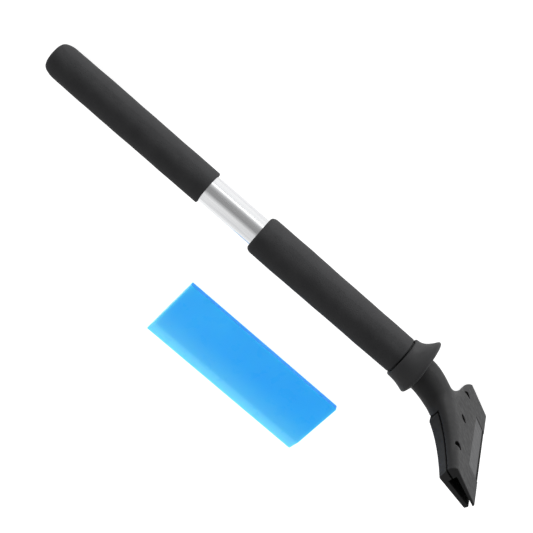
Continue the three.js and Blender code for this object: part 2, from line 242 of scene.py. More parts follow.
def rounded(corners, radii, steps=6, closed=False):
    """An outline whose corners are eased by the given radii."""
    corners = [np.array(c, float) for c in corners]
    line = []
    for i, corner in enumerate(corners):
        radius = radii[i]
        inner = closed or 0 < i < len(corners) - 1
        if radius == 0 or not inner:
            line.append(corner)
            continue
        before = corners[i - 1] - corner
        after = corners[(i + 1) % len(corners)] - corner
        reach = min(radius, 0.48 * np.linalg.norm(before), 0.48 * np.linalg.norm(after))
        start = corner + before / np.linalg.norm(before) * reach
        end = corner + after / np.linalg.norm(after) * reach
        for t in np.linspace(0, 1, steps + 1):
            line.append(start * (1 - t) ** 2 + corner * 2 * t * (1 - t) + end * t**2)
    return line


def spaced(line, spacing, closed=False):
    """The outline with points added, so that none lie further apart than spacing."""
    ends = line[1:] + ([line[0]] if closed else [])
    out = []
    for a, b in zip(line, ends):
        parts = max(1, math.ceil(np.linalg.norm(b - a) / spacing))
        out += [a + (b - a) * k / parts for k in range(parts)]
    return out if closed else [*out, line[-1]]


def turned(profile, segments, ripple=None):
    """Rings of (radius, x) points turned about X; ripple(x, angle) moves a point outwards."""
    angles = np.linspace(0, 2 * math.pi, segments, endpoint=False)
    rings = []
    for r, x in profile:
        radius = r + (ripple(x, angles) if ripple and r > BORE_R + 0.5 else 0)
        ring = [np.full(segments, x), radius * np.sin(angles), radius * np.cos(angles)]
        rings.append(np.stack(ring, axis=1))
    return rings


# ---- sampled solids: negative inside, in millimetres ----
def smoothstep(x, low, high):
    t = np.clip((x - low) / (high - low), 0, 1)
    return t * t * (3 - 2 * t)


def both(a, b, radius):
    """The overlap of two solids, with its new edges rounded."""
    rim = np.hypot(np.maximum(a + radius, 0), np.maximum(b + radius, 0))
    return np.minimum(-radius, np.maximum(a, b)) + rim


def sampled(low, high, make):
    """Samples make(x, y, z) on a grid and returns (field, lowest corner)."""
    axes = [np.arange(a, b + GRID_STEP, GRID_STEP, dtype=np.float32) for a, b in zip(low, high)]
    x, y, z = np.meshgrid(*axes, indexing="ij", sparse=True)
    return make(x, y, z), np.array(low, float)


def as_distance(level):
    """Turns a level function on the grid into distances near its surface."""
    slopes = np.gradient(level, GRID_STEP)
    steepness = np.sqrt(sum(s * s for s in slopes))
    return np.clip(level / np.maximum(steepness, 1e-3), -6, 6)


def read_field(field, at):
    """The field at points in grid units, by trilinear interpolation."""
    at = np.clip(at, 0, np.array(field.shape) - 1.001)
    cell = at.astype(int)
    part = at - cell
    total = 0
    for corner in np.ndindex(2, 2, 2):
        weight = np.prod(np.where(corner, part, 1 - part), axis=1)
        total = total + weight * field[tuple((cell + corner).T)]
    return total


def net(field, low):
    """A closed quad mesh on the surface of a sampled solid."""
    inside = field < 0
    corners = [
        inside[tuple(slice(o, n - 1 + o) for o, n in zip(corner, field.shape))]
        for corner in np.ndindex(2, 2, 2)
    ]
    filled = sum(c.astype(np.int8) for c in corners)
    active = (filled > 0) & (filled < 8)
    cells = np.argwhere(active)
    number = np.full(active.shape, -1, np.int32)
    number[active] = np.arange(len(cells))
    points = settle(field, edge_centres(field, cells))
    faces = []
    for axis in range(3):
        faces.append(crossing_quads(inside, number, axis))
    return points * GRID_STEP + low, np.concatenate(faces).tolist()


def edge_centres(field, cells):
    """Each cell's mean of the places where the surface crosses its edges, in grid units."""
    total = np.zeros((len(cells), 3))
    count = np.zeros((len(cells), 1))
    for axis in range(3):
        unit = np.eye(3, dtype=int)[axis]
        for start in np.ndindex(2, 2, 2):
            if start[axis]:
                continue
            a = cells + start
            fa = field[tuple(a.T)]
            fb = field[tuple((a + unit).T)]
            crosses = ((fa < 0) != (fb < 0))[:, None]
            share = (fa / np.where(fa == fb, 1, fa - fb))[:, None]
            total += np.where(crosses, a + share * unit, 0)
            count += crosses
    return total / count


def settle(field, points):
    """Moves the points down the field's slope onto its surface, at most half a cell."""
    start = points.copy()
    for _ in range(3):
        slope = np.stack(
            [
                read_field(field, points + e) - read_field(field, points - e)
                for e in np.eye(3) * 0.5
            ],
            axis=1,
        )
        size = np.maximum(np.sum(slope * slope, axis=1, keepdims=True), 1e-6)
        points = points - read_field(field, points)[:, None] * slope / size * 0.8
        points = start + np.clip(points - start, -0.5, 0.5)
    return points


def crossing_quads(inside, number, axis):
    """One quad round each grid edge along axis that the surface crosses, facing outwards."""
    b, c = (axis + 1) % 3, (axis + 2) % 3
    order = (axis, b, c)
    grid = inside.transpose(order)
    index = number.transpose(order)
    enters = grid[:-1] != grid[1:]
    i, j, k = np.nonzero(enters[:, 1:-1, 1:-1])
    j, k = j + 1, k + 1
    around = ((-1, -1), (0, -1), (0, 0), (-1, 0))
    quad = np.stack([index[i, j + dj, k + dk] for dj, dk in around], 1)
    flip = ~grid[i, j, k]
    quad[flip] = quad[flip][:, ::-1]
    return quad


# ---- shapes of the head, as in the CAD source ----
def ease_to(x, x0, y0, x1, y1, slope):
    t = np.clip((x - x0) / (x1 - x0), 0, 1)
    rise = (3 - 2 * t) * t * t
    return y0 + (y1 - y0) * rise + (x1 - x0) * slope * (t**3 - t**2)


def plate_z(x):
    return PLATE_BACK[1] - (x - PLATE_BACK[0]) * math.tan(PLATE_TILT)


def shoulder_half(x):
    return (HEAD_HALF + 1) * np.exp((x - SHOULDER_X) / SHOULDER_RATE) - 1


def section_half(x, z):
    """Half width of the loft: the shoulders lean forward as they rise to the screw face."""
    share = np.clip(1 - (plate_z(x) - z) / SET_BACK_DEPTH, 0, 1)
    flare = shoulder_half(x - SET_BACK * share**2.2)
    return np.minimum((NECK_R + flare + np.hypot(NECK_R - flare, NECK_BLEND)) / 2, HEAD_HALF + 1)


def section_top(x):
    run_out = ease_to(x, BEND_X, NECK_R, PLATE_X, plate_z(PLATE_X), -math.tan(PLATE_TILT))
    crowned = plate_z(x) + CROWN * np.clip((x - PLATE_X) / 6, 0, 1)
    return np.where(x > PLATE_X, crowned, run_out)


def section_bottom(x):
    slope, end_x, end_z = UNDERSIDE["slope"], UNDERSIDE["x"], UNDERSIDE["z"]
    bend = ease_to(x, BEND_X, -NECK_R, end_x, end_z, slope)
    return np.where(x > end_x, end_z + (x - end_x) * slope, bend)


def seam_frame(x, z):
    """(distance along the seam from its back, distance from it towards the screw face)."""
    dx, dz = x - SEAM_BACK[0], z - SEAM_BACK[1]
    c, s = math.cos(CLAMP_TILT), math.sin(CLAMP_TILT)
    return dx * c - dz * s, dx * s + dz * c


def plate_frame(x, z):
    dx, dz = x - PLATE_BACK[0], z - PLATE_BACK[1]
    c, s = math.cos(PLATE_TILT), math.sin(PLATE_TILT)
    return dx * c - dz * s, dx * s + dz * c


def slot_half(along):
    share = (along - SLOT_BACK) / (MOUTH - SLOT_BACK)
    return SLOT_HALF_BACK + (SLOT_HALF_MOUTH - SLOT_HALF_BACK) * share


def head_loft(x, y, z):
    top, bottom = section_top(x), section_bottom(x)
    half = section_half(x, z)
    power = 2 + 2 * smoothstep(x, 38, 60) + 14 * smoothstep(x, 59, 67)
    side = np.abs(y / half) ** power
    height = np.abs((z - (top + bottom) / 2) / ((top - bottom) / 2)) ** power
    return as_distance((side + height) ** (1 / power) - 1)


def head_underside(x, z):
    """Keeps what lies above the seam and the slot, behind the mouth, or behind the neck's wall."""
    along, away = seam_frame(x, z)
    slot = both(SLOT_BACK - along, away - slot_half(along), EASE["slot"])
    above = both(SEAM_GAP / 2 - away, -slot, EASE["seam"])
    lean = ((along - MOUTH) * 2 + (away - SLOT_HALF_MOUTH) * 0.7) / math.hypot(2, 0.7)
    mouth = np.minimum(lean, along - (MOUTH - 0.7))
    return np.minimum(both(above, mouth, EASE["lip"]), x - NECK_WALL_X)


def label_recess(x, y, z):
    along, up = plate_frame(x, z)
    rise = (up + LABEL["depth"]) * LABEL["draft"]
    rear = LABEL["from"] - rise - along
    side = np.abs(y) - LABEL["half"] - rise
    return np.maximum(np.maximum(rear, side), -LABEL["depth"] - up)


def head_field(x, y, z):
    plate = (z - plate_z(x)) * math.cos(PLATE_TILT) - 2 * (1 - smoothstep(x, 46, 53))
    solid = both(head_loft(x, y, z), plate, EASE["plate"])
    solid = both(solid, np.abs(y) - HEAD_HALF, EASE["end"])
    solid = both(solid, head_underside(x, z), EASE["cut"])
    solid = both(solid, -label_recess(x, y, z), EASE["cut"])
    for place in SCREWS.values():
        radius = np.hypot(x - SCREW_X, y - place)
        solid = both(solid, -np.maximum(radius - RECESS_R, SCREW_SEAT_Z - z), RECESS_EASE)
        solid = np.maximum(solid, SCREW_R + GAP - radius)
    return np.maximum(solid, HEAD_START - x)


def jaw_mouth(along, away):
    """The jaw's blunt front face, from its lip at the slot to its outer tip."""
    lip = (JAW_LIP, -slot_half(JAW_LIP))
    run = (lip[0] - JAW_TIP[0], lip[1] - JAW_TIP[1])
    return ((along - lip[0]) * run[1] - (away - lip[1]) * run[0]) / math.hypot(*run)


def jaw_field(x, y, z):
    along, away = seam_frame(x, z)
    slot = both(SLOT_BACK - along, -slot_half(along) - away, EASE["slot"])
    solid = both(away + SEAM_GAP / 2, -slot, EASE["seam"])
    solid = both(solid, jaw_mouth(along, away), EASE["cut"])
    slope = (JAW_TIP[1] - JAW_KNEE[1]) / (JAW_TIP[0] - JAW_KNEE[0])
    outer = JAW_KNEE[1] + (along - JAW_KNEE[0]) * slope - away
    back = both(outer, NECK_WALL_X + GAP - x, JAW_EASE["back"])
    solid = both(solid, back, JAW_EASE["outer"])
    half = shoulder_half(x)
    flare = (np.abs(y) - half) / np.hypot(1, (half + 1) / SHOULDER_RATE)
    solid = both(solid, np.maximum(flare, np.abs(y) - HEAD_HALF), JAW_EASE["outer"])
    pocket_end = INSERT["top"] - INSERT["length"] - GAP
    for place in SCREWS.values():
        radius = np.hypot(x - SCREW_X, y - place)
        pocket = np.maximum(radius - INSERT["r"] - GAP, pocket_end - z)
        solid = both(solid, -pocket, EASE["cut"])
        solid = both(solid, SCREW_R + GAP - radius, EASE["cut"])
    return solid


# ---- materials ----
class Nodes:
    """A small builder for a procedural material on one Principled shader."""

    def __init__(self, name, roughness, metallic=0.0, built=True, **constants):
        self.material = bpy.data.materials.new(name)
        self.material.use_nodes = True
        self.tree = self.material.node_tree
        self.shader = self.tree.nodes["Principled BSDF"]
        self.shader.inputs["Metallic"].default_value = metallic
        self.shader.inputs["Roughness"].default_value = roughness
        for socket, value in constants.items():
            self.shader.inputs[socket.replace("_", " ")].default_value = value
        if built:
            own = self.tree.nodes.new("ShaderNodeAttribute")
            own.attribute_name = "own_position"
            self.coords = own.outputs["Vector"]
        else:
            self.coords = self.tree.nodes.new("ShaderNodeTexCoord").outputs["Object"]

    def link(self, a, b):
        self.tree.links.new(a, b)

    def stretched(self, scale):
        mapping = self.tree.nodes.new("ShaderNodeMapping")
        mapping.inputs["Scale"].default_value = scale
        self.link(self.coords, mapping.inputs["Vector"])
        return mapping.outputs["Vector"]

    def noise(self, scale, detail=3.0, roughness=0.5, stretch=(1, 1, 1)):
        node = self.tree.nodes.new("ShaderNodeTexNoise")
        node.inputs["Scale"].default_value = scale
        node.inputs["Detail"].default_value = detail
        node.inputs["Roughness"].default_value = roughness
        self.link(self.stretched(stretch), node.inputs["Vector"])
        return node.outputs["Fac"]

    def cells(self, scale):
        node = self.tree.nodes.new("ShaderNodeTexVoronoi")
        node.inputs["Scale"].default_value = scale
        self.link(self.coords, node.inputs["Vector"])
        return node.outputs["Distance"]

    def attribute(self, name):
        node = self.tree.nodes.new("ShaderNodeAttribute")
        node.attribute_name = name
        return node.outputs["Fac"]

    def spread(self, value, low, high, to_low=0.0, to_high=1.0):
        node = self.tree.nodes.new("ShaderNodeMapRange")
        numbers = (low, high, to_low, to_high)
        for socket, number in zip(("From Min", "From Max", "To Min", "To Max"), numbers):
            node.inputs[socket].default_value = number
        self.link(value, node.inputs["Value"])
        return node.outputs["Result"]

    def maths(self, operation, a, b):
        node = self.tree.nodes.new("ShaderNodeMath")
        node.operation = operation
        for socket, value in zip(node.inputs, (a, b)):
            if isinstance(value, (int, float)):
                socket.default_value = value
            else:
                self.link(value, socket)
        return node.outputs["Value"]

    def mixed(self, factor, a, b):
        node = self.tree.nodes.new("ShaderNodeMix")
        node.data_type = "RGBA"
        self.link(factor, node.inputs["Factor"])
        for socket, value in zip((node.inputs[6], node.inputs[7]), (a, b)):
            if isinstance(value, tuple):
                socket.default_value = (*value, 1)
            else:
                self.link(value, socket)
        return node.outputs[2]

    def colour(self, value):
        self.link(value, self.shader.inputs["Base Color"])

    def rough(self, value):
        self.link(value, self.shader.inputs["Roughness"])

    def bumps(self, *layers):
        """Layers of (height, depth in millimetres), added on top of one another."""
        normal = None
        for height, depth in layers:
            node = self.tree.nodes.new("ShaderNodeBump")
            node.inputs["Distance"].default_value = depth * MM
            self.link(height, node.inputs["Height"])
            if normal is not None:
                self.link(normal, node.inputs["Normal"])
            normal = node.outputs["Normal"]
        self.link(normal, self.shader.inputs["Normal"])


def foam_material():
    """Closed-cell foam: fine open pores, a soft mottle and a dry surface."""
    m = Nodes("foam_pores", 0.9, Specular_IOR_Level=0.12)
    mottle = m.noise(90, 4)
    grain = m.noise(1300, 2)
    base = m.mixed(m.spread(mottle, 0.35, 0.65), (0.0182, 0.0184, 0.0193), (0.0238, 0.024, 0.0249))
    pores = m.spread(m.cells(950), 0.05, 0.42)
    # the pore centres are darker: painted shade in the pores
    m.colour(m.mixed(m.spread(pores, 0, 0.6, 0.45, 0), base, (0.009, 0.009, 0.0095)))
    m.rough(m.spread(mottle, 0.3, 0.7, 0.72, 0.88))
    m.bumps((m.noise(160, 3), 0.16), (pores, 0.1), (grain, 0.06))
    return m.material


def nylon_material(name, dark, light, label=False):
    """Moulded nylon: a fine spark-eroded grain, faint flow shading, painted shade in its recesses
    and, on the head, a painted highlight on the label field's floor.
    """
    m = Nodes(name, 0.6, Specular_IOR_Level=NYLON_GLOSS)
    flow = m.noise(35, 3, stretch=(1, 0.4, 1))
    base = m.mixed(m.spread(flow, 0.35, 0.65), dark, light)
    # painted highlight: the label field's floor is made lighter
    if label:
        base = m.mixed(m.attribute("label_field"), base, tuple(LABEL_HIGHLIGHT_LIFT * c for c in light))
    # painted shade: the slot, the seam, the screw recesses and the label's strip and far wall go
    # near black and fully rough
    black = tuple(RECESS_SHADE * c for c in dark)
    m.colour(m.mixed(m.attribute("openness"), black, base))
    grain = m.noise(1500, 2, 0.6)
    satin = m.spread(m.noise(260, 3), 0.3, 0.7, 0.54, 0.68)
    m.rough(m.maths("MAXIMUM", satin, m.spread(m.attribute("openness"), 0, 1, 1, 0)))
    m.bumps((m.noise(70, 2), 0.05), (grain, 0.035))
    return m.material


def guard_material():
    m = Nodes("guard_rubber", 0.62, Specular_IOR_Level=0.12)
    flow = m.noise(60, 3)
    m.colour(m.mixed(m.spread(flow, 0.3, 0.7), (0.0192, 0.0194, 0.0202), (0.0238, 0.024, 0.0248)))
    m.rough(m.spread(m.noise(240, 3), 0.3, 0.7, 0.52, 0.68))
    m.bumps((m.noise(90, 2), 0.06), (m.noise(1400, 2), 0.04))
    return m.material


def aluminium_material():
    """Drawn tube: long streaks along the tube, over faint handling marks."""
    m = Nodes("drawn_aluminium", 0.2, 1.0)
    streaks = m.noise(60, 4, 0.6, stretch=(0.35, 9, 9))
    fine = m.noise(420, 3, 0.6, stretch=(0.06, 4, 4))
    m.colour(m.mixed(m.spread(streaks, 0.3, 0.7), (0.64, 0.645, 0.66), (0.76, 0.765, 0.77)))
    m.rough(m.spread(fine, 0.3, 0.7, 0.16, 0.28))
    m.bumps((streaks, 0.012), (fine, 0.006))
    return m.material


def metal_material(name, dark, light, roughness, built=True):
    m = Nodes(name, roughness, 1.0, built)
    wear = m.noise(500, 4)
    m.colour(m.mixed(m.spread(wear, 0.3, 0.7), dark, light))
    m.rough(m.spread(m.noise(1800, 3), 0.3, 0.7, roughness - 0.08, roughness + 0.12))
    m.bumps((m.noise(2200, 2), 0.01))
    return m.material


def plug_material():
    m = Nodes("plug_plastic", 0.7, built=False)
    mottle = m.spread(m.noise(300, 3), 0.3, 0.7)
    m.colour(m.mixed(mottle, (0.012, 0.012, 0.013), (0.018, 0.018, 0.019)))
    m.rough(m.spread(m.noise(900, 2), 0.3, 0.7, 0.6, 0.78))
    m.bumps((m.noise(1200, 2), 0.04))
    return m.material


def polyurethane_material():
    """Cast polyurethane: clear enough that its thin bevel passes more light than its body; that
    light is painted into the colour as a lighter blue, the back wall carries painted shade, and the
    whole blade has a faint painted glow.
    """
    m = Nodes("cast_polyurethane", 0.3, Specular_IOR_Level=0.12, Subsurface_Weight=0.75)
    m.shader.inputs["Subsurface Radius"].default_value = (0.25, 0.7, 1.0)
    m.shader.inputs["Subsurface Scale"].default_value = 0.006
    # painted glow: the blade gives off a faint blue light of its own, though it is no lamp
    m.shader.inputs["Emission Color"].default_value = (0.02, 0.35, 1.0, 1.0)
    m.shader.inputs["Emission Strength"].default_value = 0.07
    cloud = m.noise(22, 2)
    body = m.mixed(m.spread(cloud, 0.3, 0.7), (0.024, 0.43, 0.96), (0.032, 0.48, 1.0))
    # painted light: lighter blue where the bevel is thin, at the ends and towards the -X end
    thin = m.mixed(m.attribute("thinness"), body, (0.17, 0.7, 1.0))
    # painted shade: the back wall is a darker blue
    m.colour(m.mixed(m.attribute("depth"), thin, (0.014, 0.29, 0.8)))
    m.rough(m.spread(m.noise(120, 4), 0.3, 0.7, 0.24, 0.36))
    m.bumps((m.noise(45, 2), 0.05), (m.noise(900, 2), 0.006))
    return m.material


# ---- handle ----
def foam_ripple(seed):
    """The slight waviness of a foam sleeve stretched over a tube."""

    def ripple(x, angle):
        wave = 0.07 * np.sin(x / 15 + 2 * angle + seed)
        wave += 0.05 * np.sin(x / 6.4 - 3 * angle + 2 * seed)
        return wave + 0.03 * np.sin(x / 3.1 + 5 * angle + 3 * seed)

    return ripple


def upper_grip(material):
    start, end = UPPER_SPAN
    pocket = TUBE_SPAN[0] - POCKET_DEPTH
    butt, core = UPPER_R["butt"], 0.4
    corners = [
        (core, start),
        (butt - BUTT_CORNER * 0.5, start + 0.35),
        (butt, start + 7),
        (UPPER_R["belly"], (start + end) / 2),
        (UPPER_R["end"], end),
        (BORE_R, end),
        (BORE_R, pocket),
        (core, pocket),
    ]
    outline = rounded(corners, [0, 5.6, 7, 30, 0.9, 0.4, 0.3, 0], steps=12)
    rings = turned(spaced(outline, FOAM_SPACING), FOAM_SEGMENTS, foam_ripple(0.7))
    points, faces = skin(rings, False)
    grip = piece("upper_grip_foam", points, faces, "handle", "foam", material, ["upper_grip"])
    return grip


def lower_grip(material):
    start, end = LOWER_SPAN
    r, out, along = (LOWER_SHOULDER[k] for k in ("r", "out", "along"))
    rise = np.linspace(0, math.pi / 2, 10)
    shoulder = [(r + out * math.sin(t), start + along * (1 - math.cos(t))) for t in rise]
    belly = (LOWER_R["belly"], start + 40)
    corners = [(BORE_R, start + 0.5), *shoulder, belly, (LOWER_R["end"], end), (BORE_R, end)]
    radii = [0.2, *[0] * len(shoulder), 30, 0.8, 0.3]
    outline = rounded(corners, radii, steps=12, closed=True)
    line = spaced(outline, FOAM_SPACING, closed=True)
    points, faces = skin(turned(line, FOAM_SEGMENTS, foam_ripple(2.1)), True)
    grip = piece("lower_grip_foam", points, faces, "handle", "foam", material, ["lower_grip"])
    return grip


def tube(material):
    inner = TUBE_R - TUBE_WALL
    start, end = TUBE_SPAN
    corners = [(inner, start), (TUBE_R, start), (TUBE_R, end), (inner, end)]
    outline = rounded(corners, [0.3] * 4, steps=3, closed=True)
    points, faces = skin(turned(spaced(outline, 8, closed=True), 160), True)
    piece("drawn_tube", points, faces, "handle", "aluminium", material, ["handle_tube"], sharp=40)


def spigot(material):
    start, end = SPIGOT_SPAN
    core = 0.3
    corners = [(core, start), (SPIGOT_R, start), (SPIGOT_R, end), (core, end)]
    points, faces = skin(turned(rounded(corners, [0, 1, 0, 0]), 64), False)
    made = piece("head_spigot", points, faces, "handle", "nylon", material, sharp=40)
    # no painted shade on the spigot
    mark(made.data, "openness", np.ones(len(points)))


def guard_section(angle):
    """The guard's (radius, x) outline at an angle: its flange stands up in a lobe on top."""
    top = ((1 + math.cos(angle)) / 2) ** 3
    bottom = ((1 - math.cos(angle)) / 2) ** 3
    rim, bore = GUARD_RIM, NECK_R + GAP
    flange = GUARD_FLANGE["r"] + GUARD_FLANGE["top"] * top + GUARD_FLANGE["bottom"] * bottom
    crest = GUARD_CREST["x"] + GUARD_CREST["top"] * top + GUARD_CREST["bottom"] * bottom
    foot = 3
    flare = [
        (rim + (flange - rim) * s**1.8, foot + (crest - foot) * s)
        for s in (0, 0.25, 0.45, 0.62, 0.78, 0.9, 1)
    ]
    return [
        (bore, 0.2),
        (rim - 0.7, 0.2),
        (rim, 0.9),
        *flare,
        (flange + 0.1, crest + 1),
        (flange - 0.5, crest + 2.1),
        (bore + 0.45 * (flange - bore), crest + 3),
        (bore + 0.5, crest + 3.9),
        (bore, crest + 3.9),
    ]


def finger_guard(material):
    steps = 96
    rings = []
    for i in range(steps):
        angle = i / steps * 2 * math.pi
        section = np.array(guard_section(angle))
        radius, x = section[:, 0], section[:, 1]
        rings.append(np.stack([x, radius * math.sin(angle), radius * math.cos(angle)], axis=1))
    points, faces = skin(rings, True)
    faces = [face[::-1] for face in faces]
    guard = piece("guard_flange", points, faces, "handle", "guard", material, ["finger_guard"])
    smooth = guard.modifiers.new("smooth", "SUBSURF")
    smooth.levels = smooth.render_levels = 2


# ---- head ----
def head(material):
    field, low = sampled(*HEAD_GRID, head_field)
    points, faces = net(field, low)
    made = piece("head_moulding", points, faces, "handle", "nylon", material, ["head_body"])
    # painted shade in the recesses and on the label's strip and far wall; painted highlight on the
    # label floor
    mark(made.data, "openness", openness(points, mark_label(made.data, points)))


def mark(mesh, name, values):
    attribute = mesh.attributes.new(name, "FLOAT", "POINT")
    attribute.data.foreach_set("value", np.asarray(values, np.float32))


def mark_label(mesh, points):
    """Marks the label field's floor for a painted highlight. Returns the points of its strip along
    the mouth and its far wall, which get painted shade and a dull finish.
    """
    x, y, z = points.T
    along, up = plate_frame(x, z)
    floor = (up > -LABEL["depth"] - 0.3) & (up < -LABEL["depth"] + 0.12)
    floor &= (along > LABEL["from"] + 0.1) & (np.abs(y) < LABEL["half"] - 0.1)
    # painted shade on the strip along the mouth and on the far wall
    strip = floor & (along > LABEL["strip"])
    wall = (up > -LABEL["depth"] + 0.12) & (up < -0.1)
    wall &= (y > LABEL["half"] - 0.4) & (y < LABEL["half"] + 0.5)
    mark(mesh, "label_field", floor & ~strip)
    return strip | (wall & (along > LABEL["from"]))


def openness(points, also_painted_shade=False):
    """0 where painted shade goes: in the slot, along the seam and its end at the neck's wall, and
    in the screw recesses; 1 on the open surfaces.
    """
    x, y, z = points.T
    along, away = seam_frame(x, z)
    in_slot = (along > SLOT_BACK - 0.3) & (np.abs(away) < slot_half(along) + 0.12)
    in_seam = (along <= SLOT_BACK) & (np.abs(away) < SEAM_GAP / 2 + SEAM_SHADE)
    in_seam &= x > NECK_WALL_X - SEAM_SHADE
    in_seam |= (np.abs(x - NECK_WALL_X) < SEAM_SHADE) & (away < 0.3)
    in_painted_shade = in_slot | in_seam
    for place in SCREWS.values():
        radius = np.hypot(x - SCREW_X, y - place)
        in_painted_shade |= (radius < RECESS_R + 0.25) & (z < plate_z(x) - 0.3)
    return np.where(in_painted_shade | also_painted_shade, 0.0, 1.0)


def clamp_jaw(material):
    field, low = sampled(*JAW_GRID, jaw_field)
    points, faces = net(field, low)
    made = piece("jaw_moulding", points, faces, "jaw", "nylon", material, ["clamp_jaw"])
    # painted shade in the slot, along the seam and in the screw holes
    mark(made.data, "openness", openness(points))


def across_z(rings_xy, x, y):
    """Rings of (radius per angle, z) about a line along Z at (x, y)."""
    out = []
    for radius, z in rings_xy:
        angles = np.linspace(0, 2 * math.pi, ROUND_SEGMENTS, endpoint=False)
        radius = np.broadcast_to(radius(angles) if callable(radius) else radius, angles.shape)
        level = np.full(ROUND_SEGMENTS, z)
        ring = [x + radius * np.cos(angles), y + radius * np.sin(angles), level]
        out.append(np.stack(ring, axis=1))
    return out


def hexagon(angles):
    turn = math.pi / 3
    return SOCKET_R * math.cos(turn / 2) / np.cos((angles % turn) - turn / 2)


def thread_rings(z_low, z_high):
    """Rings of a right-hand thread, its crests at the screw's radius."""
    rings = []
    for z in np.arange(z_low, z_high, THREAD_PITCH / THREAD_STEPS):
        fade = min(1.0, (z - z_low) / 0.8, (z_high - z) / 0.5)

        def radius(angles, z=z, fade=fade):
            phase = (z / THREAD_PITCH - angles / (2 * math.pi)) % 1
            return SCREW_R - fade * THREAD_DEPTH * np.abs(2 * phase - 1)

        rings.append((radius, z))
    return rings


def screw(side, y, material):
    """A socket-head cap screw: threaded shank, knurled head and a hexagon socket."""
    under = SCREW_SEAT_Z + 0.1
    top = under + SCREW_HEAD_H

    def knurl(angles):
        return SCREW_HEAD_R - 0.07 * (np.sin(36 * angles) > 0)

    rings = [(SCREW_R - 0.4, SCREW_END_Z), *thread_rings(SCREW_END_Z + 0.3, THREAD_TOP_Z)]
    rings += [(SCREW_R, THREAD_TOP_Z + 0.1), (SCREW_R, under - 0.12), (SCREW_R + 0.12, under)]
    rings += [(SCREW_HEAD_R - 0.2, under), (knurl, under + 0.2), (knurl, top - 0.35)]
    rings += [(SCREW_HEAD_R - 0.1, top - 0.3), (SCREW_HEAD_R - 0.35, top), (1.45, top)]
    rings += [(hexagon, top - 0.2), (hexagon, top - 1.3), (0.5, top - 1.5)]
    points, faces = skin(across_z(rings, SCREW_X, y), False)
    body = f"screw_{side}"
    name = f"cap_screw_{side}"
    piece(name, points, faces, body, "steel", material, [f"clamp_screw_{side}"], sharp=35)


def threaded_insert(side, y, material):
    """A brass insert with two knurled bands and a plain waist between them."""
    top, bottom = INSERT["top"], INSERT["top"] - INSERT["length"]

    def knurl(angles):
        return INSERT["r"] - 0.12 * np.abs(((angles * 18 / math.pi) % 2) - 1)

    waist = INSERT["r"] - 0.35
    middle = (top + bottom) / 2
    rings = [(INSERT["bore"], bottom), (INSERT["r"] - 0.3, bottom), (knurl, bottom + 0.3)]
    rings += [(knurl, middle - 0.5), (waist, middle - 0.3), (waist, middle + 0.3)]
    rings += [(knurl, middle + 0.5), (knurl, top - 0.3), (INSERT["r"] - 0.25, top)]
    rings += [(INSERT["bore"] + 0.15, top), (INSERT["bore"], top - 0.15)]
    points, faces = skin(across_z(rings, SCREW_X, y), True)
    name = f"brass_insert_{side}"
    piece(name, points, faces, "jaw", "brass", material, [f"insert_{side}"], sharp=35)


# ---- loose blade ----
def blade_place():
    low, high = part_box("blade")
    centre = Vector(((low.x + high.x) / 2, (low.y + high.y) / 2, low.z))
    return Matrix.Translation(centre) @ Matrix.Rotation(BLADE_YAW, 4, "Z")


def blade(material):
    """A cast strip with a bevelled long edge and slightly eased corners."""
    half, thick = BLADE["width"] / 2, BLADE["thick"]
    corners = [
        (-half, 0),
        (half, 0),
        (half, thick),
        (-half + BLADE["bevel"], thick),
        (-half, BLADE["edge"]),
    ]
    outline = rounded(corners, [0.25, 0.35, 0.5, 1.2, 0.3], steps=5, closed=True)
    section = np.array(spaced(outline, 2.0, closed=True))
    end = BLADE["length"] / 2
    inset = [(end, 0.45), (end - 0.12, 0.16), (end - 0.45, 0.0)]
    stations = [(-x, d) for x, d in inset] + [(x, 0.0) for x in np.linspace(-72, 72, 49)]
    stations += inset[::-1]
    middle = np.array([0, thick / 2])
    rings = []
    for x, drawn_in in stations:
        reach = np.abs(section - middle)
        shift = np.sign(section - middle) * np.minimum(drawn_in, reach)
        ring = section - shift * np.array([1, 0.6])
        rings.append(np.column_stack([np.full(len(ring), x), ring]))
    points, faces = skin(rings, False)
    ride = ("loose_blade", "polyurethane", material, ["blade"])
    made = piece("cast_blade", points, faces, *ride, place=blade_place(), sharp=50)
    mark_painted_light_through(made.data, points)


def mark_painted_light_through(mesh, points):
    """Painted light through the blade: 1 at the feather edge of the bevel, falling to 0 across the
    blade, more at the ends and towards the -X end; painted shade on the back wall.
    """
    x, y, z = points.T
    from_edge = y + BLADE["width"] / 2
    wide, narrow = (1 - smoothstep(from_edge, *span) for span in ((4.0, 34.0), (1.0, 15.0)))
    thin = 0.5 * wide + 0.5 * narrow
    ends = 0.3 * smoothstep(np.abs(x), BLADE["length"] / 2 - 4, BLADE["length"] / 2)
    sweep = 0.12 * (0.5 - x / BLADE["length"])
    # painted light through the blade
    mark(mesh, "thinness", np.clip(thin + ends + sweep, 0, 1))
    # painted shade on the back wall
    mark(mesh, "depth", (from_edge > BLADE["width"] - 0.3) & (z < BLADE["thick"] - 0.2))


# ---- stage ----
def studio_floor():
    m = Nodes("pale_floor", 0.8, built=False, Specular_IOR_Level=0.0)
    m.shader.inputs["Emission Color"].default_value = (1, 1, 1, 1)
    m.shader.inputs["Emission Strength"].default_value = FLOOR_GLOW
    m.colour(m.mixed(m.spread(m.noise(3, 2), 0.3, 0.7), (0.49, 0.49, 0.49), (0.51, 0.51, 0.51)))
    mesh = bpy.data.meshes.new("studio_floor")
    square = ((-1, -1), (1, -1), (1, 1), (-1, 1))
    corners = [(FLOOR_REACH * x, FLOOR_REACH * y, 0) for x, y in square]
    mesh.from_pydata(corners, [], [(0, 1, 2, 3)])
    mesh.materials.append(m.material)
    floor = bpy.data.objects.new("studio_floor", mesh)
    floor.location.z = -FLOOR_DROP
    bpy.context.scene.collection.objects.link(floor)


